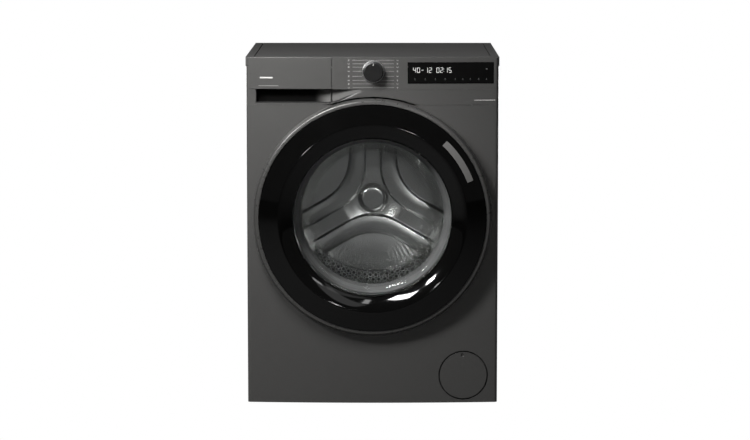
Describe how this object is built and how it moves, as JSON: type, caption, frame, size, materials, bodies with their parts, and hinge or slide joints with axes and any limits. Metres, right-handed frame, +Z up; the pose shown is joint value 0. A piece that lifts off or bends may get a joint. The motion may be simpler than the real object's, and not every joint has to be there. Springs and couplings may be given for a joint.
{
  "type": "front load washing machine",
  "caption": "Grey front load washing machine with a large round glass door, a pull-out detergent drawer, a rotary programme knob, a dark display strip and a round filter cover.",
  "frame": {"origin": "on the floor, at the middle of the machine's bounding box", "axes": "+Z up, +X to the machine's right seen from the front, +Y from the front to the back"},
  "size_m": [0.6, 0.6, 0.85],
  "materials": {
    "painted_steel": "satin metallic grey paint",
    "panel_plastic": "satin grey, fine metallic fleck",
    "ring_grey": "satin metallic grey",
    "gloss_black": "high gloss black",
    "matte_black": "fine texture",
    "steel": "zinc plated",
    "drum_steel": "brushed stainless",
    "cast_alloy": "as cast",
    "window_glass": "clear",
    "grey_rubber": "matt grey",
    "black_rubber": "matt black",
    "tub_plastic": "filled polypropylene",
    "concrete": "cast concrete",
    "white_plastic": "moulded white",
    "circuit_board": "green board"
  },
  "bodies": {
    "cabinet": {"side_panel_left": "painted_steel", "side_panel_right": "painted_steel", "rear_panel": "painted_steel", "rear_access_cover": "painted_steel", "water_inlet_valve": "white_plastic", "cable_gland": "black_rubber", "base_tray": "matte_black", "top_brace": "steel", "worktop": "panel_plastic", "front_panel": "painted_steel", "control_panel": "panel_plastic", "drawer_handle_recess": "matte_black", "display_window": "gloss_black", "control_board": "circuit_board", "program_selector": "white_plastic", "drawer_housing": "tub_plastic", "hinge_bracket": "steel", "door_lock": "white_plastic", "door_gasket": "grey_rubber", "damper_cylinder_left": "matte_black", "damper_cylinder_right": "matte_black", "suspension_spring_left": "steel", "suspension_spring_right": "steel", "dispenser_hose": "black_rubber", "sump_hose": "black_rubber", "drain_pump": "white_plastic"},
    "tub": {"tub_front": "tub_plastic", "tub_rear": "tub_plastic", "drum_bearing": "steel", "heater": "steel", "counterweight_front": "concrete", "counterweight_top": "concrete", "motor_housing": "cast_alloy", "drive_belt": "black_rubber", "damper_rod_left": "steel", "damper_rod_right": "steel"},
    "drum": {"drum_shell": "drum_steel", "drum_back": "drum_steel", "drum_spider": "cast_alloy", "drum_lifter_1": "drum_steel", "drum_lifter_2": "drum_steel", "drum_lifter_3": "drum_steel", "drum_pulley": "cast_alloy"},
    "motor_rotor": {"motor_pulley": "steel"},
    "drawer": {"drawer_front": "panel_plastic", "drawer_tray": "white_plastic"},
    "door": {"door_outer_ring": "ring_grey", "door_cover": "gloss_black", "door_glass": "window_glass", "door_inner_frame": "matte_black", "hinge_leaf": "steel"},
    "handle": {"door_handle": "matte_black"},
    "hook": {"latch_hook": "steel"},
    "knob": {"program_knob": "gloss_black"},
    "filter_lid": {"filter_cover": "panel_plastic"},
    "filter": {"filter_plug": "matte_black"},
    "foot_fl": {"foot_front_left": "black_rubber"},
    "foot_fr": {"foot_front_right": "black_rubber"},
    "foot_rl": {"foot_rear_left": "black_rubber"},
    "foot_rr": {"foot_rear_right": "black_rubber"}
  },
  "joints": [
    {"name": "tub_bounce", "type": "slide", "parent": "cabinet", "child": "tub", "axis": [0, 0, 1], "range_m": [-0.008, 0.008], "stiffness_N_per_m": 24000, "springref_m": 0.01441, "deforming": ["door_gasket", "suspension_spring_left", "suspension_spring_right", "dispenser_hose", "sump_hose"]},
    {"name": "drum_spin", "type": "hinge", "parent": "tub", "child": "drum", "pos_m": [0, 0, 0.47], "axis": [0, 1, 0], "continuous": true},
    {"name": "motor_spin", "type": "hinge", "parent": "tub", "child": "motor_rotor", "pos_m": [0.095, 0, 0.155], "axis": [0, 1, 0], "continuous": true},
    {"name": "drawer_slide", "type": "slide", "parent": "cabinet", "child": "drawer", "axis": [0, -1, 0], "range_m": [0, 0.18]},
    {"name": "door_hinge", "type": "hinge", "parent": "cabinet", "child": "door", "pos_m": [-0.275, -0.27, 0.47], "axis": [0, 0, -1], "range_deg": [0, 130]},
    {"name": "handle_pull", "type": "hinge", "parent": "door", "child": "handle", "pos_m": [0.23762, -0.268, 0.53367], "axis": [0.2588, 0, -0.9659], "range_deg": [0, 12], "stiffness_Nm_per_rad": 0.6},
    {"name": "hook_turn", "type": "hinge", "parent": "door", "child": "hook", "pos_m": [0.23762, -0.268, 0.53367], "axis": [0.2588, 0, -0.9659], "range_deg": [0, 9.6]},
    {"name": "knob_turn", "type": "hinge", "parent": "cabinet", "child": "knob", "pos_m": [0.002, -0.27, 0.816], "axis": [0, 1, 0], "continuous": true},
    {"name": "filter_lid_open", "type": "hinge", "parent": "cabinet", "child": "filter_lid", "pos_m": [0.217, -0.2572, 0.0301], "axis": [1, 0, 0], "range_deg": [0, 90]},
    {"name": "filter_turn", "type": "hinge", "parent": "cabinet", "child": "filter", "pos_m": [0.217, -0.23, 0.088], "axis": [0, 1, 0], "range_deg": [0, 90]},
    {"name": "foot_fl_screw", "type": "slide", "parent": "cabinet", "child": "foot_fl", "axis": [0, 0, -1], "range_m": [0, 0.012]},
    {"name": "foot_fr_screw", "type": "slide", "parent": "cabinet", "child": "foot_fr", "axis": [0, 0, -1], "range_m": [0, 0.012]},
    {"name": "foot_rl_screw", "type": "slide", "parent": "cabinet", "child": "foot_rl", "axis": [0, 0, -1], "range_m": [0, 0.012]},
    {"name": "foot_rr_screw", "type": "slide", "parent": "cabinet", "child": "foot_rr", "axis": [0, 0, -1], "range_m": [0, 0.012]}
  ],
  "couplings": [
    {"joint": "motor_spin", "follows": "drum_spin", "ratio": 12.071},
    {"joint": "hook_turn", "follows": "handle_pull", "ratio": 0.8}
  ]
}
